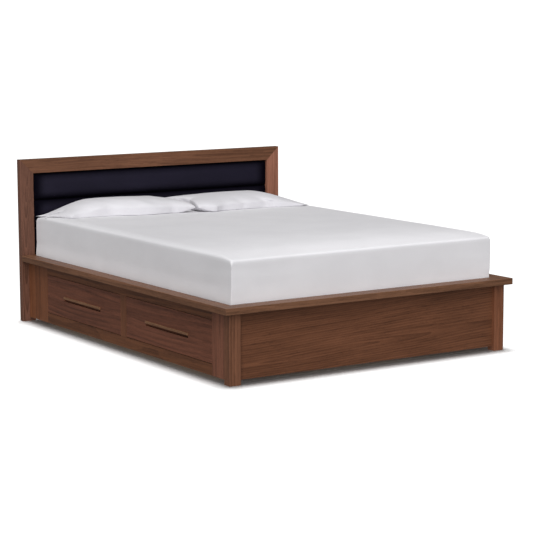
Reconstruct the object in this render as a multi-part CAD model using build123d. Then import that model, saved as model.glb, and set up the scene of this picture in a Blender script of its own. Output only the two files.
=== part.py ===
from build123d import *
import os

# Storage platform bed. The origin is on the floor, at the centre of the bed's outline.
# +Y points to the headboard, +Z up, and -X is the left side seen from the foot.

# Driving dimensions, in millimetres.
mattress_width = 1524
mattress_length = 2032
mattress_thickness = 270
mattress_recess = 45
mattress_corner = 40
mattress_edge = 30
mattress_head_gap = 15

headboard_height = 891
headboard_thickness = 37
stile_width = 80
top_rail_height = 77
back_board_thickness = 6
back_board_inset = 1
lower_rail_thickness = 20
lower_rail_setback = 4
channel_count = 3
channel_depth = 25
channel_gap = 1
channel_reveal = 3
channel_round = 12

ledge_top = 365
ledge_thickness = 32
ledge_side_width = 76
ledge_foot_width = 84
ledge_clearance = 3
ledge_ease = 3
frame_ease = 2

side_setback = 42
board_thickness = 20
ground_gap = 22
leg_width = 60
leg_depth = 50
leg_side_setback = 34
leg_foot_setback = 25
foot_panel_setback = 18
edge_ease = 1.2

head_stile_width = 225
divider_width = 57
drawer_opening_length = 830
bottom_rail_height = 54
drawer_opening_height = 210

drawer_reveal = 2.5
drawer_travel = 460
drawer_box_depth = 490
drawer_box_height = 160
drawer_box_lift = 12
drawer_board = 12
drawer_bottom_board = 6
drawer_bottom_lift = 10

pull_length = 410
pull_shift = 9
pull_pocket_height = 25
pull_pocket_depth = 14
pull_pocket_drop = 16
pull_lip_height = 12
pull_lip_proud = 6
pull_lip_thickness = 8
pull_flange_height = 6
pull_ease = 1.5

slide_length = 480
slide_space = 13
slide_height = 45
slide_sheet = 1.5
slide_play = 0.9
slide_lift = 60

case_panel = 18
case_depth = 524
case_back_thickness = 16
case_clear_of_floor = 30

slat_count = 13
slat_width = 90
slat_thickness = 18
slat_end_gap = 4
ledger_size = 20
ledger_height = 18
beam_width = 60
beam_height = 70
beam_leg_size = 50
beam_leg_places = (500, 1550)

bolt_diameter = 8
bolt_head_diameter = 20
bolt_head_thickness = 5
bolt_sink = 7
bolt_length = 85
bolt_play = 0.1
bolt_heights = (110, 260)

pillow_length = 752
pillow_width = 470
pillow_thickness = 96
pillow_round = 45
pillow_from_headboard = 30
pillow_from_centre = 4

# Sizes that follow from them.
overall_width = mattress_width + 2 * (ledge_clearance + ledge_side_width)
overall_length = (headboard_thickness + mattress_head_gap + mattress_length
                  + ledge_clearance + ledge_foot_width)
half_width = overall_width / 2
front_y = overall_length / 2 - headboard_thickness
back_y = overall_length / 2
foot_y = -overall_length / 2
side_x = half_width - side_setback
side_inner_x = side_x - board_thickness
ledge_bottom = ledge_top - ledge_thickness
ledge_inner_x = mattress_width / 2 + ledge_clearance
ledge_inner_y = foot_y + ledge_foot_width
mattress_bottom = ledge_top - mattress_recess
mattress_top = mattress_bottom + mattress_thickness
frame_inner_x = half_width - stile_width
frame_inner_top = headboard_height - top_rail_height
leg_outer_x = half_width - leg_side_setback
leg_inner_x = leg_outer_x - leg_width
leg_front_y = foot_y + leg_foot_setback
leg_back_y = leg_front_y + leg_depth
opening_bottom = ground_gap + bottom_rail_height
opening_top = opening_bottom + drawer_opening_height
slat_bottom = mattress_bottom - slat_thickness
case_inner_x = side_inner_x - case_depth

# Distances from the headboard's front plane to each drawer opening's two ends.
head_opening = (head_stile_width, head_stile_width + drawer_opening_length)
foot_opening = (head_opening[1] + divider_width,
                head_opening[1] + divider_width + drawer_opening_length)
openings = {"head": head_opening, "foot": foot_opening}


def save(node, *solids):
    """Write one node's solids to its STEP file."""
    shape = solids[0] if len(solids) == 1 else Compound(children=list(solids))
    shape.label = node
    export_step(shape, f"parts/{node}.step")


def block(x_range, y_range, z_range):
    """A box between the given limits."""
    size = [limits[1] - limits[0] for limits in (x_range, y_range, z_range)]
    centre = [(limits[0] + limits[1]) / 2 for limits in (x_range, y_range, z_range)]
    return Pos(*centre) * Box(*size)


def eased(solid, radius=edge_ease):
    """The same solid with every edge rounded."""
    return fillet(solid.edges(), radius)


def eased_along(solid, axis, radius=edge_ease):
    """The same solid with only the edges along one axis rounded, so that mitres stay tight."""
    return fillet(solid.edges().filter_by(axis), radius)


def from_headboard(near, far):
    """The y limits of a piece that lies between two distances from the headboard."""
    return (front_y - far, front_y - near)


def mirrored(solid):
    """The solid's counterpart on the right side."""
    return mirror(solid, about=Plane.YZ)


def save_pair(name, left_solid):
    """Write a left piece and its mirror image as two nodes."""
    save(f"left_{name}", left_solid)
    save(f"right_{name}", mirrored(left_solid))


def extruded(plane, points, length):
    """A prism: a closed outline on the plane, pushed along the plane's normal."""
    return extrude(plane * make_face(Polyline(*points, close=True)), amount=length)


def bolt_axis_points():
    """The x and z of each headboard bolt."""
    bolt_x = side_x - board_thickness / 2
    return [(side * bolt_x, z) for side in (-1, 1) for z in bolt_heights]


def bolt_shaft(x, z, radius, start_y, length):
    """A round bar along Y from start_y towards the foot."""
    return Pos(x, start_y - length / 2, z) * Rot(90, 0, 0) * Cylinder(radius, length)


def make_headboard():
    """Mitred picture frame, lower rail, back board and three upholstered channels."""
    corner = (half_width, headboard_height)
    inner = (frame_inner_x, frame_inner_top)
    front_plane = Plane(origin=(0, back_y, 0), x_dir=(1, 0, 0), z_dir=(0, -1, 0))
    right_outline = [(frame_inner_x, 0), (half_width, 0), corner, inner]
    right_stile = eased_along(extruded(front_plane, right_outline, headboard_thickness), Axis.Z, frame_ease)
    for x, z in bolt_axis_points():
        if x > 0:
            hole = bolt_shaft(x, z, bolt_diameter / 2 + bolt_play, back_y, headboard_thickness)
            sink = bolt_shaft(x, z, bolt_head_diameter / 2 + bolt_play, back_y, bolt_sink)
            right_stile = right_stile - hole - sink
    save("headboard_right_stile", right_stile)
    save("headboard_left_stile", mirrored(right_stile))

    rail_outline = [(-corner[0], corner[1]), (-inner[0], inner[1]), inner, corner]
    top_rail = extruded(front_plane, rail_outline, headboard_thickness)
    save("headboard_top_rail", eased_along(top_rail, Axis.X, frame_ease))

    lower_front = front_y + lower_rail_setback
    save("headboard_lower_rail", block(
        (-frame_inner_x, frame_inner_x),
        (lower_front, lower_front + lower_rail_thickness),
        (ground_gap, ledge_top)))

    board_back = back_y - back_board_inset
    board_front = board_back - back_board_thickness
    save("headboard_back_board", block(
        (-frame_inner_x, frame_inner_x), (board_front, board_back), (ledge_top, frame_inner_top)))

    pitch = (frame_inner_top - ledge_top) / channel_count
    channel_x = frame_inner_x - channel_reveal
    for index, name in enumerate(("lower", "middle", "upper")):
        bottom = ledge_top + index * pitch + channel_gap
        top = bottom + pitch - 2 * channel_gap
        channel = block((-channel_x, channel_x), (board_front - channel_depth, board_front), (bottom, top))
        front_edges = channel.faces().sort_by(Axis.Y)[0].edges()
        save(f"headboard_channel_{name}", fillet(front_edges, channel_round))


def make_bolts():
    """Flat-headed bolts that hold the headboard to the sides."""
    bolts = []
    for x, z in bolt_axis_points():
        seat_y = back_y - bolt_sink
        head = bolt_shaft(x, z, bolt_head_diameter / 2, seat_y + bolt_head_thickness, bolt_head_thickness)
        bolts.append(head + bolt_shaft(x, z, bolt_diameter / 2, seat_y, bolt_length))
    save("headboard_bolts", *bolts)


def make_ledge():
    """The three mitred boards that surround the mattress."""
    board_plane = Plane(origin=(0, 0, ledge_bottom))
    left_outline = [
        (-half_width, front_y), (-ledge_inner_x, front_y),
        (-ledge_inner_x, ledge_inner_y), (-half_width, foot_y)]
    left_ledge = eased_along(extruded(board_plane, left_outline, ledge_thickness), Axis.Y, ledge_ease)
    save("ledge_left", left_ledge)
    save("ledge_right", mirrored(left_ledge))
    foot_outline = [
        (-half_width, foot_y), (-ledge_inner_x, ledge_inner_y),
        (ledge_inner_x, ledge_inner_y), (half_width, foot_y)]
    foot_ledge = extruded(board_plane, foot_outline, ledge_thickness)
    save("ledge_foot", eased_along(foot_ledge, Axis.X, ledge_ease))


def make_foot():
    """The foot panel between two square corner legs."""
    leg = block((-leg_outer_x, -leg_inner_x), (leg_front_y, leg_back_y), (0, ledge_bottom))
    leg = eased(leg)
    save("foot_leg_left", leg)
    save("foot_leg_right", mirrored(leg))
    panel_front = leg_front_y + foot_panel_setback
    save("foot_panel", block(
        (-leg_inner_x, leg_inner_x),
        (panel_front, panel_front + board_thickness),
        (ground_gap, ledge_bottom)))


def make_side_frame():
    """The fixed boards round the drawers, on each side."""
    thickness = (-side_x, -side_inner_x)
    rails_y = from_headboard(head_opening[0], foot_opening[1])
    head_stile = block(thickness, from_headboard(0, head_opening[0]), (ground_gap, ledge_bottom))
    for x, z in bolt_axis_points():
        if x < 0:
            bolt_reach = headboard_thickness - bolt_sink
            hole = bolt_shaft(x, z, bolt_diameter / 2 + bolt_play, front_y, bolt_length - bolt_reach)
            head_stile = head_stile - hole
    save_pair("head_stile", head_stile)
    foot_stile_y = (leg_back_y, front_y - foot_opening[1])
    save_pair("foot_stile", block(thickness, foot_stile_y, (ground_gap, ledge_bottom)))
    save_pair("top_rail", block(thickness, rails_y, (opening_top, ledge_bottom)))
    bottom_rail = block(thickness, rails_y, (ground_gap, opening_bottom))
    save("bottom_rails", bottom_rail, mirrored(bottom_rail))
    divider = block(thickness, from_headboard(head_opening[1], foot_opening[0]), (opening_bottom, opening_top))
    save("dividers", divider, mirrored(divider))


def make_cases():
    """Plywood panels that carry the slides, and the case backs that reach the floor."""
    panel_x = (-side_inner_x, -case_inner_x)
    panel_z = (case_clear_of_floor, slat_bottom - ledger_height)
    starts = []
    for near, far in openings.values():
        starts += [near - case_panel, far]
    panels = [block(panel_x, from_headboard(start, start + case_panel), panel_z) for start in starts]
    save("case_panels", *panels, *[mirrored(panel) for panel in panels])
    back = block(
        (-case_inner_x, -case_inner_x + case_back_thickness),
        from_headboard(head_opening[0] - case_panel, foot_opening[1] + case_panel),
        (0, slat_bottom))
    save("case_backs", back, mirrored(back))


def make_slat_base():
    """Ledgers along the sides, a centre beam on two legs, and the slats across them."""
    ledger = block(
        (-side_inner_x, -side_inner_x + ledger_size),
        from_headboard(0, front_y - leg_back_y),
        (slat_bottom - ledger_height, slat_bottom))
    save("slat_ledgers", ledger, mirrored(ledger))
    beam_bottom = slat_bottom - beam_height
    panel_back = leg_front_y + foot_panel_setback + board_thickness
    beam = block(
        (-beam_width / 2, beam_width / 2),
        (panel_back, front_y + lower_rail_setback),
        (beam_bottom, slat_bottom))
    half_leg = beam_leg_size / 2
    legs = [
        block((-half_leg, half_leg), from_headboard(place - half_leg, place + half_leg), (0, beam_bottom))
        for place in beam_leg_places]
    save("centre_beam", beam, *legs)
    slat_half = side_inner_x - slat_end_gap
    pitch = (mattress_length - slat_width) / (slat_count - 1)
    slats = []
    for index in range(slat_count):
        start = mattress_head_gap + index * pitch
        slats.append(block(
            (-slat_half, slat_half), from_headboard(start, start + slat_width), (slat_bottom, mattress_bottom)))
    save("slats", *slats)


def channel_section(depth_range, height, opens_inwards, wall_y, direction):
    """A C-shaped outline for a drawer slide, as (y, z) points.

    Depths are measured from the case panel's face, wall_y, in the given direction.
    """
    near, far = depth_range
    half = height / 2
    inner = half - slide_sheet
    if opens_inwards:
        outline = [
            (near, -half), (far, -half), (far, half), (near, half),
            (near, inner), (far - slide_sheet, inner), (far - slide_sheet, -inner), (near, -inner)]
    else:
        outline = [
            (far, -half), (near, -half), (near, half), (far, half),
            (far, inner), (near + slide_sheet, inner), (near + slide_sheet, -inner), (far, -inner)]
    return [(wall_y + direction * depth, z) for depth, z in outline]


def slide_member(kind, wall_y, direction):
    """One member of a telescopic slide on the left side, beside the case panel at wall_y."""
    step = slide_sheet + slide_play
    if kind == "outer":
        section = ((0, slide_space - step), slide_height, False)
    elif kind == "middle":
        section = ((step, slide_space - step), slide_height - 2 * step, False)
    else:
        section = ((2 * step, slide_space), slide_height - 4 * step, True)
    slide_z = opening_bottom + slide_lift
    start_x = -side_inner_x
    plane = Plane(origin=(start_x, 0, slide_z), x_dir=(0, 1, 0), z_dir=(1, 0, 0))
    return extruded(plane, channel_section(*section, wall_y, direction), slide_length)


def slide_pair(kind, opening):
    """The same slide member at both ends of a drawer opening."""
    head_wall = front_y - opening[0]
    foot_wall = front_y - opening[1]
    return [slide_member(kind, head_wall, -1), slide_member(kind, foot_wall, 1)]


def make_fixed_slides():
    """The outer slide members, screwed to the case panels."""
    members = []
    for opening in openings.values():
        members += slide_pair("outer", opening)
    save("slide_outers", *members, *[mirrored(member) for member in members])


def drawer_front(opening):
    """An inset drawer front with a pocket for its pull, a little nearer the headboard than its middle."""
    near, far = opening
    board = block(
        (-side_x, -side_inner_x),
        from_headboard(near + drawer_reveal, far - drawer_reveal),
        (opening_bottom + drawer_reveal, opening_top - drawer_reveal))
    middle = (near + far) / 2 - pull_shift
    pocket_bottom = (opening_bottom + opening_top) / 2 - pull_pocket_drop
    pocket = block(
        (-side_x, -side_x + pull_pocket_depth),
        from_headboard(middle - pull_length / 2, middle + pull_length / 2),
        (pocket_bottom, pocket_bottom + pull_pocket_height))
    return eased(board, 1) - pocket


def drawer_pull(opening):
    """A wooden strip with a lip that hides the finger space behind it."""
    middle = sum(opening) / 2 - pull_shift
    top = (opening_bottom + opening_top) / 2 - pull_pocket_drop + pull_pocket_height
    face = -side_x - pull_lip_proud
    lip_back = face + pull_lip_thickness
    lip = block(
        (face, lip_back),
        from_headboard(middle - pull_length / 2, middle + pull_length / 2),
        (top - pull_lip_height, top))
    front_edges = lip.faces().sort_by(Axis.X)[0].edges()
    lip = fillet(front_edges, pull_ease)
    flange = block(
        (lip_back, -side_x + pull_pocket_depth),
        from_headboard(middle - pull_length / 2, middle + pull_length / 2),
        (top - pull_flange_height, top))
    return lip + flange


def drawer_box(opening):
    """The drawer's side boards, back board and bottom board."""
    near, far = opening
    box_near = near + slide_space
    box_far = far - slide_space
    front_x = -side_inner_x
    back_x = front_x + drawer_box_depth
    bottom = opening_bottom + drawer_box_lift
    height = (bottom, bottom + drawer_box_height)
    sides = [
        block((front_x, back_x), from_headboard(start, start + drawer_board), height)
        for start in (box_near, box_far - drawer_board)]
    between = from_headboard(box_near + drawer_board, box_far - drawer_board)
    back = block((back_x - drawer_board, back_x), between, height)
    panel_z = bottom + drawer_bottom_lift
    panel = block((front_x, back_x - drawer_board), between, (panel_z, panel_z + drawer_bottom_board))
    return sides, back, panel


def make_drawers():
    """Four drawers, each with its front, pull, box and moving slide members."""
    for place, opening in openings.items():
        sides, back, panel = drawer_box(opening)
        pieces = {
            "front": [drawer_front(opening)],
            "pull": [drawer_pull(opening)],
            "sides": sides,
            "back": [back],
            "bottom": [panel],
            "slide_inner": slide_pair("inner", opening),
            "slide_middle": slide_pair("middle", opening),
        }
        for name, solids in pieces.items():
            save(f"left_{place}_drawer_{name}", *solids)
            save(f"right_{place}_drawer_{name}", *[mirrored(solid) for solid in solids])


def make_bedding():
    """The mattress and two pillows, as plain soft solids."""
    mattress = block(
        (-mattress_width / 2, mattress_width / 2),
        from_headboard(mattress_head_gap, mattress_head_gap + mattress_length),
        (mattress_bottom, mattress_top))
    mattress = fillet(mattress.edges().filter_by(Axis.Z), mattress_corner)
    caps = mattress.faces().filter_by(Axis.Z).edges()
    save("mattress", fillet(caps, mattress_edge))

    pillow = block(
        (-pillow_from_centre - pillow_length, -pillow_from_centre),
        from_headboard(pillow_from_headboard, pillow_from_headboard + pillow_width),
        (mattress_top, mattress_top + pillow_thickness))
    save_pair("pillow", eased(pillow, pillow_round))


os.makedirs("parts", exist_ok=True)
make_headboard()
make_bolts()
make_ledge()
make_foot()
make_side_frame()
make_cases()
make_slat_base()
make_fixed_slides()
make_drawers()
make_bedding()
print("overall size", overall_width, overall_length, headboard_height)
print("drawer travel", drawer_travel)
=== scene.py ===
import bpy, bmesh, math
from mathutils import Vector, Matrix, Euler, noise


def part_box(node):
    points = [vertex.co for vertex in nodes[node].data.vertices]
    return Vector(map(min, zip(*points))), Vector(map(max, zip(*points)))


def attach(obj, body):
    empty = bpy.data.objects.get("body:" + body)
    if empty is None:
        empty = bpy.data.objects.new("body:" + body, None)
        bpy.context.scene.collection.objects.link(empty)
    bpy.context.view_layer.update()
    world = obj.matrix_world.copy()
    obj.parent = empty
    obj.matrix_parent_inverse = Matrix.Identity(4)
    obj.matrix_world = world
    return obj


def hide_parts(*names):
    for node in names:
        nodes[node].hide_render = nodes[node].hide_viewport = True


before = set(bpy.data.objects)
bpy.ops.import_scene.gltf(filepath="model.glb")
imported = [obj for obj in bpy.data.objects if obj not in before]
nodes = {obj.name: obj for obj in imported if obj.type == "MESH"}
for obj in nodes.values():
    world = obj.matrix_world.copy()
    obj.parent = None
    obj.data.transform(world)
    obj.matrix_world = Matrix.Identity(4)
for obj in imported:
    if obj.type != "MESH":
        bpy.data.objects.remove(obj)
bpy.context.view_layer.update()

# ---------------------------------------------------------------------------
# Places read from the frame, in metres
# ---------------------------------------------------------------------------
MATTRESS_LOW, MATTRESS_HIGH = (Vector(corner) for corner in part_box("mattress"))
MATTRESS_TOP = MATTRESS_HIGH.z
HEADBOARD_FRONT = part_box("headboard_top_rail")[0][1]
LEDGE_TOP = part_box("ledge_left")[1][2]

# ---------------------------------------------------------------------------
# Camera, floor and light
# ---------------------------------------------------------------------------
CAMERA_PLACE = (-5.045, HEADBOARD_FRONT - 8.985, 1.712)
CAMERA_LENS = 122.3
CAMERA_HEADING = math.radians(32.84)
CAMERA_DOWN = math.radians(8.17)
CAMERA_ROLL = math.radians(-0.20)


def make_camera():
    """A long lens at the foot's left corner, looking slightly down."""
    data = bpy.data.cameras.new("camera")
    data.lens = CAMERA_LENS
    data.sensor_width = 36.0
    data.clip_end = 200.0
    camera = bpy.data.objects.new("camera", data)
    bpy.context.scene.collection.objects.link(camera)
    aim = Euler((math.pi / 2 - CAMERA_DOWN, 0.0, -CAMERA_HEADING)).to_matrix()
    turn = aim @ Matrix.Rotation(CAMERA_ROLL, 3, "Z")
    camera.matrix_world = Matrix.Translation(CAMERA_PLACE) @ turn.to_4x4()
    bpy.context.scene.camera = camera


def make_light():
    """Soft studio lights over the bed, an even surround, and one light for the floor alone."""
    scene = bpy.context.scene
    world = bpy.data.worlds.new("surround")
    world.use_nodes = True
    background = world.node_tree.nodes["Background"]
    background.inputs["Color"].default_value = (1.0, 1.0, 1.0, 1.0)
    background.inputs["Strength"].default_value = SURROUND_STRENGTH
    scene.world = world
    for name, direction, strength, spread in BED_LIGHTS:
        make_sun(name, direction, strength, spread, "EXCLUDE")
    name, direction, strength, spread = FLOOR_LIGHT
    make_sun(name, direction, strength, spread, "INCLUDE")
    make_strip(*FOOT_LIGHT)
    scene.view_settings.view_transform = "Standard"
    scene.view_settings.look = "None"


def make_sun(name, direction, strength, spread, floor_state):
    """A broad distant light that either leaves out the floor or lights only the floor."""
    data = bpy.data.lights.new(name, "SUN")
    data.energy = strength
    data.angle = math.radians(spread)
    lamp = bpy.data.objects.new(name, data)
    lamp.rotation_euler = Vector(direction).to_track_quat("Z", "Y").to_euler()
    link_floor(lamp, floor_state)


def make_strip(name, place, size, power):
    """A soft strip light that hangs level over the bed."""
    data = bpy.data.lights.new(name, "AREA")
    data.shape = "RECTANGLE"
    data.size, data.size_y = size
    data.energy = power
    lamp = bpy.data.objects.new(name, data)
    lamp.location = place
    link_floor(lamp, "EXCLUDE")


def link_floor(lamp, floor_state):
    """Adds a light that leaves out the floor, or that lights nothing else."""
    bpy.context.scene.collection.objects.link(lamp)
    lit = bpy.data.collections.new(f"{lamp.name}_floor")
    lit.objects.link(bpy.data.objects["floor"])
    lit.collection_objects[0].light_linking.link_state = floor_state
    lamp.light_linking.receiver_collection = lit


SURROUND_STRENGTH = 0.18
BED_LIGHTS = (
    ("overhead_light", (-0.30, -0.45, 0.84), 1.80, 34.0),
    ("front_light", (-0.55, -0.79, 0.25), 1.40, 50.0),
)
FLOOR_LIGHT = ("floor_light", (0.02, 0.06, 1.0), 3.5, 17.0)
FOOT_LIGHT = ("foot_light", (-0.05, MATTRESS_LOW.y + 0.07, MATTRESS_TOP + 0.40), (1.7, 0.20), 0.95)
FLOOR_FLAT = 24.0
FLOOR_RISE = 14.0
FLOOR_RINGS = 40
FLOOR_SIDES = 96


def make_floor():
    """A round white floor that curves up far away, so no horizon shows."""
    mesh = bpy.data.meshes.new("floor")
    shape = bmesh.new()
    rings = []
    for ring in range(FLOOR_RINGS + 1):
        share = ring / FLOOR_RINGS
        radius = (FLOOR_FLAT + FLOOR_RISE) * share
        height = FLOOR_RISE * (1 - math.sqrt(max(0.0, 1 - (max(0.0, radius - FLOOR_FLAT) / FLOOR_RISE) ** 2)))
        if ring == 0:
            rings.append([shape.verts.new((0, 0, 0))])
            continue
        angles = [2 * math.pi * side / FLOOR_SIDES for side in range(FLOOR_SIDES)]
        rings.append([shape.verts.new((radius * math.cos(a), radius * math.sin(a), height)) for a in angles])
    for side in range(FLOOR_SIDES):
        after = (side + 1) % FLOOR_SIDES
        shape.faces.new((rings[0][0], rings[1][side], rings[1][after]))
        for ring in range(1, FLOOR_RINGS):
            inner, outer = rings[ring], rings[ring + 1]
            shape.faces.new((inner[side], outer[side], outer[after], inner[after]))
    for face in shape.faces:
        face.smooth = True
    shape.to_mesh(mesh)
    shape.free()
    floor = bpy.data.objects.new("floor", mesh)
    bpy.context.scene.collection.objects.link(floor)
    tree = Shader("floor")
    tree.surface.inputs["Base Color"].default_value = (0.93, 0.93, 0.93, 1.0)
    tree.surface.inputs["Roughness"].default_value = 0.9
    tree.surface.inputs["Specular IOR Level"].default_value = 0.0
    tree.surface.inputs["Emission Color"].default_value = (1.0, 1.0, 1.0, 1.0)
    tree.surface.inputs["Emission Strength"].default_value = FLOOR_GLOW
    mesh.materials.append(tree.material)
    floor.visible_diffuse = False
    floor.visible_glossy = False
    floor.visible_shadow = False


FLOOR_GLOW = 0.02

# ---------------------------------------------------------------------------
# Material helpers
# ---------------------------------------------------------------------------


class Shader:
    """A material, or a node group, that is built node by node."""

    def __init__(self, name, tree=None):
        self.material = None
        if tree is None:
            self.material = bpy.data.materials.new(name)
            self.material.use_nodes = True
            tree = self.material.node_tree
            self.surface = tree.nodes["Principled BSDF"]
        self.tree = tree

    def add(self, kind, values=None, **settings):
        """Adds a node, sets its properties, and sets or links its inputs."""
        node = self.tree.nodes.new("ShaderNode" + kind)
        for key, value in settings.items():
            setattr(node, key, value)
        for key, value in (values or {}).items():
            self.put(node.inputs[key], value)
        return node

    def put(self, socket, value):
        """Sets a socket to a value, or links it to another node's output."""
        if isinstance(value, bpy.types.NodeSocket):
            self.tree.links.new(value, socket)
        else:
            socket.default_value = value

    def math(self, operation, first, second=0.0, third=None, clamp=False):
        values = {0: first, 1: second}
        if third is not None:
            values[2] = third
        return self.add("Math", values, operation=operation, use_clamp=clamp).outputs[0]

    def scaled(self, vector, factors):
        """The vector with each axis multiplied by its own factor."""
        return self.add("VectorMath", {0: vector, 1: factors}, operation="MULTIPLY").outputs[0]

    def shifted(self, vector, offset):
        return self.add("VectorMath", {0: vector, 1: offset}, operation="ADD").outputs[0]

    def noise(self, vector, detail=2.0, roughness=0.5, scale=1.0, distortion=0.0):
        values = {"Vector": vector, "Scale": scale, "Detail": detail}
        return self.add("TexNoise", {**values, "Roughness": roughness, "Distortion": distortion})

    def ramp(self, value, low, high, to_low=0.0, to_high=1.0):
        """The value moved from one range to another, smoothly and clamped."""
        values = {"Value": value, "From Min": low, "From Max": high, "To Min": to_low, "To Max": to_high}
        return self.add("MapRange", values, interpolation_type="SMOOTHSTEP").outputs["Result"]

    def blend(self, share, first, second, kind="MIX"):
        """A mix of two colours."""
        node = self.add("Mix", data_type="RGBA", blend_type=kind)
        self.put(node.inputs["Factor"], share)
        self.put(node.inputs["A"], first)
        self.put(node.inputs["B"], second)
        return node.outputs["Result"]

    def bump(self, height, distance, strength=1.0):
        """Feeds a height to the surface's normal, in metres per unit."""
        node = self.add("Bump", {"Height": height, "Distance": distance, "Strength": strength})
        self.tree.links.new(node.outputs[0], self.surface.inputs["Normal"])


def place_vector(shader):
    """The point on the piece, in metres, which moves with it."""
    return shader.add("TexCoord").outputs["Object"]


def rgba(colour):
    return (*colour, 1.0)


# ---------------------------------------------------------------------------
# Wood
# ---------------------------------------------------------------------------
def make_grain_group():
    """Wood that grows along X: rings round a pith, streaks, fibres and short dark pores."""
    tree = bpy.data.node_groups.new("wood_grain", "ShaderNodeTree")
    for name, kind in (("Vector", "NodeSocketVector"), ("Ring Scale", "NodeSocketFloat"),
                       ("Ring Share", "NodeSocketFloat"), ("Pore Depth", "NodeSocketFloat"),
                       ("Dark", "NodeSocketColor"), ("Light", "NodeSocketColor")):
        tree.interface.new_socket(name, in_out="INPUT", socket_type=kind)
    for name, kind in (("Color", "NodeSocketColor"), ("Roughness", "NodeSocketFloat"),
                       ("Height", "NodeSocketFloat")):
        tree.interface.new_socket(name, in_out="OUTPUT", socket_type=kind)
    shader = Shader("wood_grain", tree)
    given = tree.nodes.new("NodeGroupInput").outputs
    result = tree.nodes.new("NodeGroupOutput").inputs
    point = given["Vector"]

    wander = shader.noise(shader.scaled(point, (0.8, 2.6, 2.6)), detail=1.5).outputs["Color"]
    wander = shader.shifted(wander, (-0.5, -0.5, -0.5))
    bent = shader.shifted(point, shader.scaled(wander, (0.0, 0.070, 0.070)))
    fine_wander = shader.noise(shader.scaled(point, (5.0, 26.0, 26.0)), detail=2.0).outputs["Color"]
    fine_wander = shader.shifted(fine_wander, (-0.5, -0.5, -0.5))
    bent = shader.shifted(bent, shader.scaled(fine_wander, (0.0, 0.005, 0.005)))

    rings = shader.add("TexWave", {
        "Vector": shader.scaled(bent, (0.03, 1.0, 1.0)), "Scale": given["Ring Scale"],
        "Distortion": 0.35, "Detail": 2.0, "Detail Scale": 2.0}, wave_type="RINGS", rings_direction="X",
        wave_profile="SAW").outputs["Fac"]
    rings = shader.math("POWER", rings, 1.4)

    def drawn_out(vector, along, across, detail, roughness, low, high):
        """Noise drawn out along the grain, cut to the part between low and high."""
        stretched = shader.scaled(vector, (along, across, across))
        field = shader.noise(stretched, detail=detail, roughness=roughness)
        return shader.ramp(field.outputs["Fac"], low, high)

    streaks = drawn_out(bent, 1.3, 90.0, 5.0, 0.62, 0.32, 0.68)
    fibres = drawn_out(bent, 6.0, 480.0, 4.0, 0.70, 0.25, 0.75)
    flecks = drawn_out(bent, 13.0, 420.0, 3.0, 0.65, 0.54, 0.68)
    pores = drawn_out(bent, 52.0, 1150.0, 1.0, 0.50, 0.58, 0.70)
    patches = drawn_out(point, 1.5, 7.0, 2.5, 0.55, 0.30, 0.70)

    tone = shader.math("MULTIPLY_ADD", shader.math("SUBTRACT", 1.0, rings), given["Ring Share"], 0.06)
    tone = shader.math("MULTIPLY_ADD", streaks, 0.31, tone)
    tone = shader.math("MULTIPLY_ADD", fibres, 0.24, tone)
    tone = shader.math("MULTIPLY_ADD", patches, 0.18, tone)
    tone = shader.math("SUBTRACT", tone, shader.math("MULTIPLY", flecks, given["Pore Depth"]), clamp=True)
    colour = shader.blend(tone, given["Dark"], given["Light"])
    pore_share = shader.math("MULTIPLY", pores, given["Pore Depth"])
    colour = shader.blend(pore_share, colour, given["Dark"], "MULTIPLY")

    tree.links.new(colour, result["Color"])
    roughness = shader.math("MULTIPLY_ADD", streaks, 0.08, 0.44)
    tree.links.new(shader.math("MULTIPLY_ADD", pores, 0.15, roughness), result["Roughness"])
    height = shader.math("MULTIPLY_ADD", fibres, 0.35, 0.65)
    tree.links.new(shader.math("SUBTRACT", height, pores), result["Height"])
    return tree


WOODS = {
    "walnut": dict(dark=(0.046, 0.0150, 0.0055), light=(0.232, 0.0900, 0.0400), pores=0.30, rings=0.24),
    "pull": dict(dark=(0.10, 0.043, 0.020), light=(0.36, 0.185, 0.100), pores=0.25, rings=0.20),
    "maple": dict(dark=(0.46, 0.30, 0.17), light=(0.74, 0.57, 0.38), pores=0.08, rings=0.25),
    "birch": dict(dark=(0.42, 0.27, 0.15), light=(0.70, 0.52, 0.33), pores=0.10, rings=0.20),
    "pine": dict(dark=(0.50, 0.33, 0.17), light=(0.78, 0.62, 0.42), pores=0.06, rings=0.35),
}
GRAIN_SLOPE = 0.012
BOARD_SPACING = 3.1
GRAIN_ORDER = {"X": ("X", "Y", "Z"), "Y": ("Y", "X", "Z"), "Z": ("Z", "X", "Y")}


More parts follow.
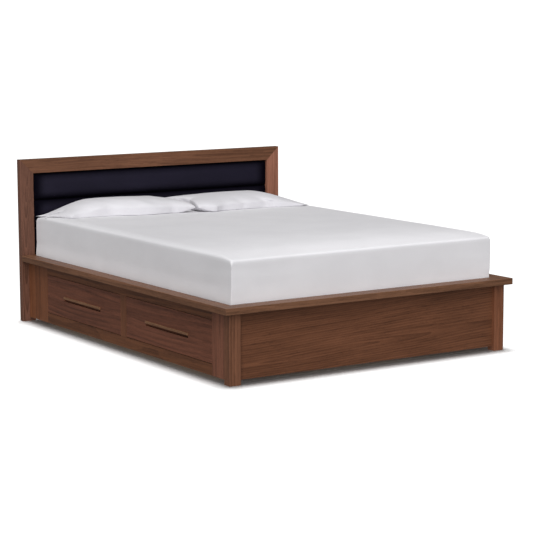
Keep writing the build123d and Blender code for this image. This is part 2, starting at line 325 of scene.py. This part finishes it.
def wood_material(name, kind, along, seed, figure, centre, tone):
    """A board's own material. The grain runs along one axis of the piece.

    figure holds where the pith lies from the board's centre (along the grain, then across it), how close the
    rings are, how strong they are, and how far the board leans out of line with the tree, in radians.
    """
    look = WOODS[kind]
    pith, ring_scale, rings, tilt = figure
    shader = Shader(name)
    split = shader.add("SeparateXYZ", {0: shader.shifted(place_vector(shader), tuple(-c for c in centre))})
    order = GRAIN_ORDER[along]
    joined = shader.add("CombineXYZ", {axis: split.outputs[source] for axis, source in zip("XYZ", order)})
    turn = (0.0, tilt, GRAIN_SLOPE * (seed % 3 - 1))
    turned = shader.add("VectorRotate", {"Vector": joined.outputs[0], "Rotation": turn},
                        rotation_type="EULER_XYZ")
    offset = (BOARD_SPACING * seed + pith[0], pith[1], pith[2])
    group = shader.tree.nodes.new("ShaderNodeGroup")
    group.node_tree = bpy.data.node_groups["wood_grain"]
    shader.put(group.inputs["Vector"], shader.shifted(turned.outputs[0], offset))
    group.inputs["Ring Scale"].default_value = ring_scale
    group.inputs["Ring Share"].default_value = rings
    group.inputs["Pore Depth"].default_value = look["pores"]
    group.inputs["Dark"].default_value = rgba(tuple(a * b for a, b in zip(look["dark"], tone)))
    group.inputs["Light"].default_value = rgba(tuple(a * b for a, b in zip(look["light"], tone)))
    shader.put(shader.surface.inputs["Base Color"], group.outputs["Color"])
    shader.put(shader.surface.inputs["Roughness"], group.outputs["Roughness"])
    shader.surface.inputs["Specular IOR Level"].default_value = 0.30
    shader.bump(group.outputs["Height"], 0.00025, 0.6)
    return shader.material


def centre_of(node):
    low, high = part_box(node)
    return tuple((a + b) / 2 for a, b in zip(low, high))


def paint(node, material):
    """Gives every slot of a CAD node's object the same material."""
    mesh = nodes[node].data
    if not mesh.materials:
        mesh.materials.append(material)
    for index in range(len(mesh.materials)):
        mesh.materials[index] = material


# Which wood each board is cut from, which way its grain runs, and its tint.
PLAIN = (1.0, 1.0, 1.0)
BOARDS = (
    ("headboard_left_stile", "walnut", "Z", (0.86, 0.98, 1.40)),
    ("headboard_right_stile", "walnut", "Z", (1.95, 2.14, 3.05)),
    ("headboard_top_rail", "walnut", "X", (1.07, 1.20, 1.42)),
    ("headboard_lower_rail", "walnut", "X", (0.95, 0.95, 0.95)),
    ("headboard_back_board", "walnut", "X", PLAIN),
    ("ledge_left", "walnut", "Y", (1.20, 1.45, 1.75)),
    ("ledge_right", "walnut", "Y", (1.15, 1.40, 1.70)),
    ("ledge_foot", "walnut", "X", (1.15, 1.40, 1.70)),
    ("foot_panel", "walnut", "X", (0.86, 0.86, 0.93)),
    ("foot_leg_left", "walnut", "Z", (1.17, 1.28, 1.55)),
    ("foot_leg_right", "walnut", "Z", (1.39, 1.38, 1.57)),
    ("left_head_stile", "walnut", "Z", (1.32, 1.28, 1.30)),
    ("right_head_stile", "walnut", "Z", (1.32, 1.28, 1.30)),
    ("left_foot_stile", "walnut", "Z", (1.38, 1.40, 1.85)),
    ("right_foot_stile", "walnut", "Z", (1.38, 1.40, 1.85)),
    ("left_top_rail", "walnut", "Y", PLAIN),
    ("right_top_rail", "walnut", "Y", PLAIN),
    ("bottom_rails", "walnut", "Y", PLAIN),
    ("dividers", "walnut", "Z", (1.10, 1.10, 1.15)),
    ("case_panels", "birch", "X", PLAIN),
    ("case_backs", "birch", "Y", PLAIN),
    ("slats", "pine", "X", PLAIN),
    ("slat_ledgers", "pine", "Y", PLAIN),
    ("centre_beam", "pine", "Y", PLAIN),
)
DRAWER_BOARDS = (
    ("front", "walnut", "Y", (1.08, 1.02, 1.30)),
    ("pull", "pull", "Y", PLAIN),
    ("sides", "maple", "X", PLAIN),
    ("back", "maple", "Y", PLAIN),
    ("bottom", "birch", "Y", PLAIN),
)
# Boards sawn flat, with arched figure: where the pith lies, how close and strong the rings are, and the tilt.
ARCHED_BOARDS = {
    "headboard_left_stile": ((0.0, 0.004, 0.045), 48.0, 0.50, 0.055),
    "foot_panel": ((0.3, 0.012, 0.060), 30.0, 0.40, 0.045),
}
DRAWERS = [f"{side}_{place}_drawer" for side in ("left", "right") for place in ("head", "foot")]


def paint_boards():
    """A grain of its own for every wooden piece."""
    boards = list(BOARDS)
    for drawer in DRAWERS:
        boards += [(f"{drawer}_{part}", *look) for part, *look in DRAWER_BOARDS]
    for seed, (node, kind, along, tone) in enumerate(boards):
        pith = (0.3 * math.sin(seed * 2.3), 0.10 + 0.03 * math.sin(seed * 1.7), 0.05 * math.sin(seed * 4.1))
        figure = (pith, 20.0 + 4.0 * math.sin(seed), WOODS[kind]["rings"], 0.0)
        figure = ARCHED_BOARDS.get(node, figure)
        paint(node, wood_material(f"{node}_wood", kind, along, seed, figure, centre_of(node), tone))


# ---------------------------------------------------------------------------
# Metal, leather and cloth materials
# ---------------------------------------------------------------------------
def steel_material(name, colour, roughness):
    """Zinc-plated steel with drawn lines along X and a faint mottle."""
    shader = Shader(name)
    point = place_vector(shader)
    lines = shader.noise(shader.scaled(point, (12.0, 1500.0, 1500.0)), detail=3.0, roughness=0.7)
    lines = lines.outputs["Fac"]
    mottle = shader.noise(shader.scaled(point, (60.0, 60.0, 60.0)), detail=3.0).outputs["Fac"]
    darker = tuple(0.72 * part for part in colour)
    shader.put(shader.surface.inputs["Base Color"], shader.blend(mottle, rgba(darker), rgba(colour)))
    shader.surface.inputs["Metallic"].default_value = 1.0
    worn = shader.ramp(lines, 0.3, 0.7, roughness - 0.08, roughness + 0.12)
    shader.put(shader.surface.inputs["Roughness"], worn)
    shader.bump(lines, 0.00005)
    return shader.material


LEATHER_DARK = (0.0068, 0.0054, 0.0140)
LEATHER_LIGHT = (0.0092, 0.0074, 0.0185)
LEATHER_PORE = (0.0025, 0.0018, 0.0055)
# Colour of the painted shade in the seams and at the channel ends.
LEATHER_PAINTED_SHADE = (0.0012, 0.0008, 0.0028)


def leather_material():
    """Near-black leather: fine pebble grain, faint creases, a soft polish, and painted shade at the seams and
    ends, where it is darker, duller and reflects less.
    """
    shader = Shader("headboard_leather")
    point = place_vector(shader)
    pebbles = shader.add("TexVoronoi", {"Vector": point, "Scale": 620.0, "Randomness": 1.0},
                         feature="DISTANCE_TO_EDGE").outputs["Distance"]
    pebbles = shader.ramp(pebbles, 0.0, 0.22)
    creases = shader.noise(shader.scaled(point, (55.0, 55.0, 90.0)), detail=5.0, roughness=0.6).outputs["Fac"]
    cloud = shader.noise(shader.scaled(point, (5.0, 5.0, 9.0)), detail=3.0).outputs["Fac"]
    colour = shader.blend(shader.ramp(cloud, 0.3, 0.7), rgba(LEATHER_DARK), rgba(LEATHER_LIGHT))
    between_pebbles = shader.math("MULTIPLY", shader.math("SUBTRACT", 1.0, pebbles), 0.5)
    colour = shader.blend(between_pebbles, colour, rgba(LEATHER_PORE))
    # face is a painted shade mask: 0 in the seams and at the channel ends, 1 on the open face. Toward 0 it
    # darkens the colour, raises the roughness and lowers the reflection.
    face = shader.add("Attribute", attribute_name="face").outputs["Fac"]
    colour = shader.blend(face, rgba(LEATHER_PAINTED_SHADE), colour)
    shader.put(shader.surface.inputs["Base Color"], colour)
    polish = shader.ramp(creases, 0.3, 0.75, 0.42, 0.54)
    dull = shader.math("MULTIPLY", shader.math("SUBTRACT", 1.0, face), 0.3)
    shader.put(shader.surface.inputs["Roughness"], shader.math("ADD", polish, dull))
    shader.put(shader.surface.inputs["Specular IOR Level"], shader.math("MULTIPLY_ADD", face, 0.30, 0.06))
    shader.surface.inputs["Specular Tint"].default_value = (0.80, 0.76, 1.0, 1.0)
    height = shader.math("MULTIPLY_ADD", creases, 0.9, pebbles)
    shader.bump(height, 0.00018, 0.8)
    return shader.material


def cotton_material(name, colour, thread, sheen):
    """Plain-woven cotton: crossing threads, slubs and a soft uneven bleach."""
    shader = Shader(name)
    point = place_vector(shader)
    waves = []
    for direction in ("X", "Y"):
        wave = shader.add("TexWave", {"Vector": point, "Scale": thread, "Distortion": 0.8, "Detail": 1.0},
                          wave_type="BANDS", bands_direction=direction)
        waves.append(wave.outputs["Fac"])
    upright = shader.add("TexWave", {"Vector": point, "Scale": thread, "Distortion": 0.8, "Detail": 1.0},
                         wave_type="BANDS", bands_direction="Z").outputs["Fac"]
    weave = shader.math("MULTIPLY", shader.math("MAXIMUM", *waves), shader.math("ADD", 0.6, upright))
    slub = shader.noise(shader.scaled(point, (90.0, 420.0, 200.0)), detail=3.0, roughness=0.6).outputs["Fac"]
    soft = shader.noise(shader.scaled(point, (4.0, 4.0, 6.0)), detail=3.0).outputs["Fac"]
    shade = tuple(0.955 * part for part in colour)
    tint = shader.blend(shader.ramp(soft, 0.3, 0.7), rgba(shade), rgba(colour))
    tint = shader.blend(shader.math("MULTIPLY", slub, 0.07), tint, rgba((0.62, 0.62, 0.66)))
    shader.put(shader.surface.inputs["Base Color"], tint)
    shader.put(shader.surface.inputs["Roughness"], shader.ramp(slub, 0.3, 0.7, 0.72, 0.88))
    shader.surface.inputs["Specular IOR Level"].default_value = 0.25
    shader.surface.inputs["Sheen Weight"].default_value = sheen
    shader.surface.inputs["Sheen Roughness"].default_value = 0.45
    height = shader.math("MULTIPLY_ADD", slub, 0.5, weave)
    shader.bump(height, 0.00012, 0.7)
    return shader.material


# ---------------------------------------------------------------------------
# Mesh helpers
# ---------------------------------------------------------------------------
def new_piece(name, shape, material, body="bed"):
    """Turns a bmesh into a smooth piece that rides on a body."""
    bmesh.ops.recalc_face_normals(shape, faces=shape.faces)
    for face in shape.faces:
        face.smooth = True
    mesh = bpy.data.meshes.new(name)
    shape.to_mesh(mesh)
    shape.free()
    mesh.set_sharp_from_angle(angle=math.radians(50))
    mesh.materials.append(material)
    piece = bpy.data.objects.new(name, mesh)
    bpy.context.scene.collection.objects.link(piece)
    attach(piece, body)
    return piece


def applied(piece):
    """Replaces a piece's mesh by what its modifiers make of it."""
    graph = bpy.context.evaluated_depsgraph_get()
    mesh = bpy.data.meshes.new_from_object(piece.evaluated_get(graph), depsgraph=graph)
    piece.modifiers.clear()
    piece.data = mesh
    return piece


def smooth_step(value):
    value = min(1.0, max(0.0, value))
    return value * value * (3 - 2 * value)


# ---------------------------------------------------------------------------
# Upholstered headboard
# ---------------------------------------------------------------------------
CHANNEL_ROUND = 0.032
CHANNEL_END_ROUND = 0.030
CHANNEL_END_DEPTH = 0.40
CHANNEL_SEAM = 0.0009
# Widths of the painted shade in the seams and at the channel ends, and how far in from the ends it starts.
SEAM_SHADE = 0.050
END_SHADE = 0.070
END_SHADE_START = 0.012
CHANNEL_CROWN = 0.004
CHANNEL_STEP = 0.006
PUCKER = 0.0009


def rounded_rise(distance, radius):
    """How far a padded edge has risen, from 0 at the seam to 1."""
    share = min(1.0, max(0.0, distance / radius))
    return math.sqrt(1 - (1 - share) ** 2)


def leather_channel(node, material):
    """One padded channel: flat in front, rolled over at its seams, with small puckers there."""
    low, high = (Vector(corner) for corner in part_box(node))
    low.z -= CHANNEL_SEAM
    high.z += CHANNEL_SEAM
    columns = round((high.x - low.x) / CHANNEL_STEP)
    rows = round((high.z - low.z) / CHANNEL_STEP)
    base = high.y - 0.006
    depth = base - low.y - CHANNEL_CROWN
    shape = bmesh.new()

    def front_point(column, row):
        x = low.x + (high.x - low.x) * column / columns
        z = low.z + (high.z - low.z) * row / rows
        from_end = min(x - low.x, high.x - x)
        from_seam = min(z - low.z, high.z - z)
        end_rise = 1 - CHANNEL_END_DEPTH * (1 - rounded_rise(from_end, CHANNEL_END_ROUND))
        rise = end_rise * rounded_rise(from_seam, CHANNEL_ROUND)
        crown = CHANNEL_CROWN * math.sin(math.pi * row / rows) * smooth_step(from_end / 0.15)
        ripple = noise.noise(Vector((x * 24, z * 6, low.z * 9)))
        near_seam = max(0.0, 1 - from_seam / 0.045) * rise
        return (x, base - depth * rise - crown - PUCKER * ripple * near_seam * 2, z)

    front = [[shape.verts.new(front_point(c, r)) for r in range(rows + 1)] for c in range(columns + 1)]
    for c in range(columns):
        for r in range(rows):
            shape.faces.new((front[c][r], front[c + 1][r], front[c + 1][r + 1], front[c][r + 1]))
    rim = ([front[c][0] for c in range(columns)] + [front[columns][r] for r in range(rows)]
           + [front[c][rows] for c in range(columns, 0, -1)] + [front[0][r] for r in range(rows, 0, -1)])
    behind = [shape.verts.new((v.co.x, high.y, v.co.z)) for v in rim]
    for index in range(len(rim)):
        after = (index + 1) % len(rim)
        shape.faces.new((rim[index], rim[after], behind[after], behind[index]))
    shape.faces.new(behind)
    name = node.replace("channel", "leather")
    piece = new_piece(name, shape, material)
    # Painted shade mask for the leather: 0 in the seams and at the channel ends, rising to 1 on the open
    # face.
    shades = piece.data.attributes.new("face", "FLOAT", "POINT")
    for vert, shade in zip(piece.data.vertices, shades.data):
        from_end = min(vert.co.x - low.x, high.x - vert.co.x)
        from_seam = min(vert.co.z - low.z, high.z - vert.co.z)
        end_share = smooth_step((from_end - END_SHADE_START) / END_SHADE)
        shade.value = end_share * smooth_step(from_seam / SEAM_SHADE)
    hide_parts(node)


# ---------------------------------------------------------------------------
# Mattress and fitted sheet
# ---------------------------------------------------------------------------
MATTRESS_FOOT_EDGE = 0.020
TOP_CORNER = 0.010
TOP_EDGE = 0.008
ROLL_ACROSS = (0.050, 0.010)
ROLL_ALONG = (0.200, 0.019)
MATTRESS_CELL = 0.015
EDGE_STEPS = (0.0, 0.001, 0.003, 0.006, 0.010, 0.015, 0.022, 0.031, 0.042, 0.055, 0.070)
MATTRESS_CROWN = 0.006
MATTRESS_LEAN = 0.005
SIDE_ROWS = 18
TUCK_STEPS = 5
HEM_STEPS = 4
SHEET_CLEARANCE = 0.0025
SHEET_THICKNESS = 0.0012
SHEET_HEM = 0.06


def spaced(length):
    """Places along one side, closer together near its ends."""
    inner = length - 2 * EDGE_STEPS[-1]
    count = round(inner / MATTRESS_CELL)
    middle = [EDGE_STEPS[-1] + inner * index / count for index in range(1, count)]
    return list(EDGE_STEPS) + middle + [length - step for step in reversed(EDGE_STEPS)]


def top_drop(across, along, size):
    """How far the top lies below its highest plane, at a place measured from the low corner."""
    from_x = min(across, size.x - across)
    from_y = min(along, size.y - along)
    rolls = [depth * max(0.0, 1 - distance / reach) ** 2
             for distance, (reach, depth) in ((from_x, ROLL_ACROSS), (from_y, ROLL_ALONG))]
    drop = sum(roll ** 4 for roll in rolls) ** 0.25
    from_edge = min(from_x, from_y)
    if from_x < TOP_CORNER and from_y < TOP_CORNER:
        from_edge = TOP_CORNER - math.hypot(TOP_CORNER - from_x, TOP_CORNER - from_y)
    inside = min(TOP_EDGE, max(0.0, from_edge))
    drop += TOP_EDGE - math.sqrt(TOP_EDGE ** 2 - (TOP_EDGE - inside) ** 2) + max(0.0, -from_edge)
    out_x = abs(2 * across / size.x - 1)
    out_y = abs(2 * along / size.y - 1)
    return drop + MATTRESS_CROWN * (1 - (1 - out_x ** 4) * (1 - out_y ** 4))


def wrapped_block(low, high, closed, hem):
    """A mattress-shaped skin: crowned top, soft shoulders, crisp corners, and a lower edge turned under."""
    size = high - low
    columns, rows = spaced(size.x), spaced(size.y)
    shape = bmesh.new()
    grid = []
    for across in columns:
        line = []
        for along in rows:
            place = (low.x + across, low.y + along, high.z - top_drop(across, along, size))
            line.append(shape.verts.new(place))
        grid.append(line)
    last_column, last_row = len(columns) - 1, len(rows) - 1
    for c in range(last_column):
        for r in range(last_row):
            shape.faces.new((grid[c][r], grid[c + 1][r], grid[c + 1][r + 1], grid[c][r + 1]))
    ring = [grid[c][0] for c in range(last_column)]
    ring += [grid[last_column][r] for r in range(last_row)]
    ring += [grid[c][last_row] for c in range(last_column, 0, -1)]
    ring += [grid[0][r] for r in range(last_row, 0, -1)]
    centre = (low + high) / 2
    edge = [vert.co.copy() for vert in ring]
    foot = low.z + MATTRESS_FOOT_EDGE
    for vert in shape.verts:
        vert.co.x += MATTRESS_LEAN
    levels = []
    for row in range(1, SIDE_ROWS + 1):
        share = row / SIDE_ROWS
        heights = [p.z + (foot - p.z) * share for p in edge]
        levels.append([(p.x + lean_at(z), p.y, z) for p, z in zip(edge, heights)])
    for step in range(1, TUCK_STEPS + 1):
        angle = math.pi / 2 * step / TUCK_STEPS
        reach = (1 - math.cos(angle)) * MATTRESS_FOOT_EDGE
        height = foot - math.sin(angle) * MATTRESS_FOOT_EDGE
        levels.append([(*pulled_in(p, centre, size, reach), height) for p in edge])
    for step in range(1, HEM_STEPS + 1):
        reach = MATTRESS_FOOT_EDGE + hem * step / HEM_STEPS
        levels.append([(*pulled_in(p, centre, size, reach), low.z) for p in edge])
    above = ring
    for level in levels:
        below = [shape.verts.new(point) for point in level]
        for index in range(len(ring)):
            after = (index + 1) % len(ring)
            shape.faces.new((above[after], above[index], below[index], below[after]))
        above = below
    if closed:
        shape.faces.new(above)
    return shape


def lean_at(height):
    """How far the soft block leans to one side over the ledge, at a height."""
    return MATTRESS_LEAN * smooth_step((height - LEDGE_TOP) / 0.08)


def pulled_in(point, centre, size, reach):
    """A rim point moved inwards by the same reach on every side."""
    x = centre.x + (point.x - centre.x) * (1 - 2 * reach / size.x)
    y = centre.y + (point.y - centre.y) * (1 - 2 * reach / size.y)
    return x, y


def sheet_ripple(point, normal, low, high):
    """Small folds of the fitted sheet: gathers low on the sides, soft pulls near the corners."""
    up = (point.z - low.z) / (high.z - low.z)
    to_corner = math.hypot(min(point.x - low.x, high.x - point.x), min(point.y - low.y, high.y - point.y))
    side = 1 - abs(normal.z)
    travel = point.x + point.y
    gathers = noise.noise(Vector((travel * 13, point.z * 2.0, 3.7))) * (1 - smooth_step(up / 0.7))
    pulls = noise.noise(Vector((travel * 4, point.z * 22, 9.1))) * math.exp(-to_corner / 0.22)
    swell = noise.noise(Vector((travel * 2.4, point.z * 3, 6.2)))
    top = 0.7 * noise.noise(Vector((point.x * 2.0, point.y * 2.6, 1.3)))
    top += 0.3 * noise.noise(Vector((point.x * 6.0 + point.y * 2.0, point.y * 4.0, 5.3)))
    creases = noise.noise(Vector((point.x * 3.0, point.y * 30.0 + point.x * 8.0, 2.2)))
    creases *= smooth_step(1 - abs(point.y - high.y + 0.75) / 0.35)
    on_side = 0.0014 * gathers + 0.0022 * pulls + 0.0014 * swell
    return side * on_side + (1 - side) * (0.0016 * top + 0.0006 * creases)


def make_mattress(ticking, cotton):
    """The mattress, and the fitted sheet that wraps it with its hem tucked under."""
    low = MATTRESS_LOW + Vector((SHEET_CLEARANCE, SHEET_CLEARANCE, 0.003))
    high = MATTRESS_HIGH + Vector((-SHEET_CLEARANCE, -SHEET_CLEARANCE, 0.001))
    mattress = new_piece("mattress_body", wrapped_block(low, high, True, 0.12), ticking)
    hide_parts("mattress")

    skin = wrapped_block(low, high, False, SHEET_HEM)
    bmesh.ops.recalc_face_normals(skin, faces=skin.faces)
    skin.normal_update()
    places = []
    for vert in skin.verts:
        rise = SHEET_CLEARANCE + sheet_ripple(vert.co, vert.normal, low, high)
        places.append(vert.co + vert.normal * max(0.0014, rise))
    for vert, place in zip(skin.verts, places):
        vert.co = place
        vert.co.z = max(vert.co.z, MATTRESS_LOW.z + 0.0006)
    sheet = new_piece("fitted_sheet", skin, cotton)
    thick = sheet.modifiers.new("cloth", "SOLIDIFY")
    thick.thickness = SHEET_THICKNESS
    thick.offset = -1.0
    applied(sheet)


def bed_top(x, y):
    """The height of the sheet's top, which drops away at the mattress's edges."""
    size = MATTRESS_HIGH - MATTRESS_LOW
    across = min(max(x - MATTRESS_LOW.x, 0.0), size.x)
    along = min(max(y - MATTRESS_LOW.y, 0.0), size.y)
    return MATTRESS_TOP + 0.001 + SHEET_CLEARANCE - min(0.020, top_drop(across, along, size))


# ---------------------------------------------------------------------------
# Pillows
# ---------------------------------------------------------------------------
CASE_CELL = 0.0095
CASE_LENGTH = 0.84
CASE_WIDTH = 0.53
CASE_PRESSURE = 5.0
CASE_FRAMES = 26
SEAM_LOW = 0.004
SEAM_TIP = 0.022
SIMULATED = 0.50
PILLOW_CLEARANCE = 0.0015


def flat_case(name, seed):
    """Two flat layers of cloth joined round their edge, with the start of some creases."""
    columns = round(CASE_LENGTH / CASE_CELL)
    rows = round(CASE_WIDTH / CASE_CELL)
    shape = bmesh.new()

    def layer_point(column, row, side):
        x = (column / columns - 0.5) * CASE_LENGTH
        y = (row / rows - 0.5) * CASE_WIDTH
        edge = min(column, columns - column, row, rows - row) * CASE_CELL
        z = side * 0.02 * smooth_step(edge / 0.12)
        z += 0.005 * noise.noise(Vector((x * 11 + seed, y * 11, side * 3.0))) * smooth_step(edge / 0.04)
        return (x, y, z)

    border = {}
    for side in (1, -1):
        grid = []
        for column in range(columns + 1):
            line = []
            for row in range(rows + 1):
                on_edge = column in (0, columns) or row in (0, rows)
                vert = border.get((column, row)) if on_edge else None
                if vert is None:
                    vert = shape.verts.new(layer_point(column, row, side))
                    if on_edge:
                        border[column, row] = vert
                line.append(vert)
            grid.append(line)
        for column in range(columns):
            for row in range(rows):
                near, far = grid[column], grid[column + 1]
                face = [near[row], far[row], far[row + 1], near[row + 1]]
                shape.faces.new(face if side > 0 else face[::-1])
    mesh = bpy.data.meshes.new(name)
    shape.to_mesh(mesh)
    shape.free()
    case = bpy.data.objects.new(name, mesh)
    bpy.context.scene.collection.objects.link(case)
    return case


def inflate(case):
    """Blows the flat case up with cloth simulation, and keeps the shape it takes."""
    cloth = case.modifiers.new("cloth", "CLOTH")
    settings = cloth.settings
    settings.quality = 5
    settings.mass = 0.25
    settings.tension_stiffness = 20.0
    settings.compression_stiffness = 20.0
    settings.shear_stiffness = 5.0
    settings.bending_stiffness = 0.12
    settings.use_pressure = True
    settings.uniform_pressure_force = CASE_PRESSURE
    settings.effector_weights.gravity = 0.0
    settings.air_damping = 3.0
    cloth.collision_settings.use_collision = False
    scene = bpy.context.scene
    cloth.point_cache.frame_start = 1
    cloth.point_cache.frame_end = CASE_FRAMES
    for step in range(1, CASE_FRAMES + 1):
        scene.frame_set(step)
    applied(case)
    scene.frame_set(1)
    eased = case.modifiers.new("eased", "SMOOTH")
    eased.factor = 0.5
    eased.iterations = 30
    applied(case)


def between(places, share):
    """A smooth value at a share of the way along, from a few (share, value) places."""
    for (start, first), (end, second) in zip(places, places[1:]):
        if share <= end:
            return first + (second - first) * smooth_step((share - start) / (end - start))
    return places[-1][1]


def crease(x, y, seed):
    """Shallow slanting creases, from -1 to 1."""
    along, across = 0.8 * x + 0.6 * y, 0.8 * y - 0.6 * x
    return noise.noise(Vector((along * 24 + seed, across * 6, 4.4)))


def lay_down(case, seed, span, back, reach, crest, outer, slant, taper_length, creases):
    """Shapes the blown-up case as a pillow lying on the bed.

    span is its low and high x, back the y of its rear edge, and reach how far its front edge lies from
    that, from the flat open end of the case to the full closed end. outer is -1 when the open end is at
    low x, else 1. slant moves the rear of the full end towards low x, taper_length is how far the open
    end slopes, and creases is how deep the creases near the front seam are.
    """
    points = case.data.vertices
    low = Vector([min(v.co[axis] for v in points) for axis in range(3)])
    high = Vector([max(v.co[axis] for v in points) for axis in range(3)])
    length = span[1] - span[0]
    for vert in points:
        t = (vert.co.x - low.x) / (high.x - low.x)
        s = (vert.co.y - low.y) / (high.y - low.y)
        inward = t if outer < 0 else 1 - t
        full = smooth_step((inward - 0.70) / 0.30)
        x = span[0] + length * t - slant * s * smooth_step((inward - 0.3) / 0.7)
        y = back - between(reach, inward) * (1 - s)
        seam = SEAM_LOW + (SEAM_TIP - SEAM_LOW) * smooth_step((inward - 0.86) / 0.14)
        taper = 1 - (1 - min(1.0, inward * length / taper_length)) ** 1.5
        dome = math.sqrt(max(0.0, 1 - abs(2 * s - 1) ** 2.3)) * math.sqrt(1 - max(0.0, 2 * inward - 1) ** 24)
        rise = vert.co.z / high.z
        if rise > 0:
            height = SIMULATED * rise ** (1 - 0.5 * full) + (1 - SIMULATED) * dome
            near_front = (1 - smooth_step(s / 0.6)) * smooth_step(inward / 0.3) * min(1.0, 5 * s)
            z = seam + (crest - seam) * height * taper + creases * crease(x, y, seed) * near_front
        else:
            z = max(0.0, seam + crest * 0.45 * rise * taper)
        vert.co = (x, y, z + bed_top(x, y) + PILLOW_CLEARANCE)


def make_pillow(name, node, material, seed, **lie):
    """One pillow in its case, blown up, laid down and smoothed."""
    case = flat_case(name, seed)
    inflate(case)
    lay_down(case, seed, **lie)
    smoother = case.modifiers.new("smooth", "SUBSURF")
    smoother.levels = 1
    smoother.render_levels = 1
    applied(case)
    case.data.materials.clear()
    case.data.materials.append(material)
    for face in case.data.polygons:
        face.use_smooth = True
    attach(case, "bed")
    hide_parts(node)


def make_pillows(material):
    """Two pillows at the head, with their flat open ends outwards and their full ends meeting."""
    make_pillow("pillow_left_case", "left_pillow", material, 1.0, span=(-0.764, 0.004),
                back=HEADBOARD_FRONT - 0.015, crest=0.088, outer=-1, slant=0.07, taper_length=0.24,
                creases=0.0045,
                reach=((0.0, 0.12), (0.11, 0.32), (0.35, 0.375), (0.62, 0.475), (1.0, 0.44)))
    make_pillow("pillow_right_case", "right_pillow", material, 4.0, span=(0.008, 0.735),
                back=HEADBOARD_FRONT - 0.025, crest=0.080, outer=1, slant=0.075, taper_length=0.26,
                creases=0.0015,
                reach=((0.0, 0.47), (0.12, 0.52), (0.35, 0.545), (0.85, 0.51), (1.0, 0.45)))


# ---------------------------------------------------------------------------
# The whole scene
# ---------------------------------------------------------------------------
def make_bed():
    make_grain_group()
    paint_boards()
    steel = steel_material("slide_zinc", (0.62, 0.63, 0.66), 0.34)
    bolts = steel_material("bolt_zinc", (0.48, 0.47, 0.45), 0.30)
    paint("headboard_bolts", bolts)
    paint("slide_outers", steel)
    for drawer in DRAWERS:
        paint(f"{drawer}_slide_inner", steel)
        paint(f"{drawer}_slide_middle", steel)
    leather = leather_material()
    for place in ("upper", "middle", "lower"):
        leather_channel(f"headboard_channel_{place}", leather)
    ticking = cotton_material("mattress_ticking", (0.72, 0.71, 0.69), 160.0, 0.1)
    sheet_cotton = cotton_material("sheet_cotton", (0.822, 0.812, 0.838), 190.0, 0.15)
    make_mattress(ticking, sheet_cotton)
    make_pillows(cotton_material("pillow_cotton", (0.73, 0.718, 0.75), 190.0, 0.15))


make_camera()
make_floor()
make_light()
make_bed()

bpy.context.view_layer.update()
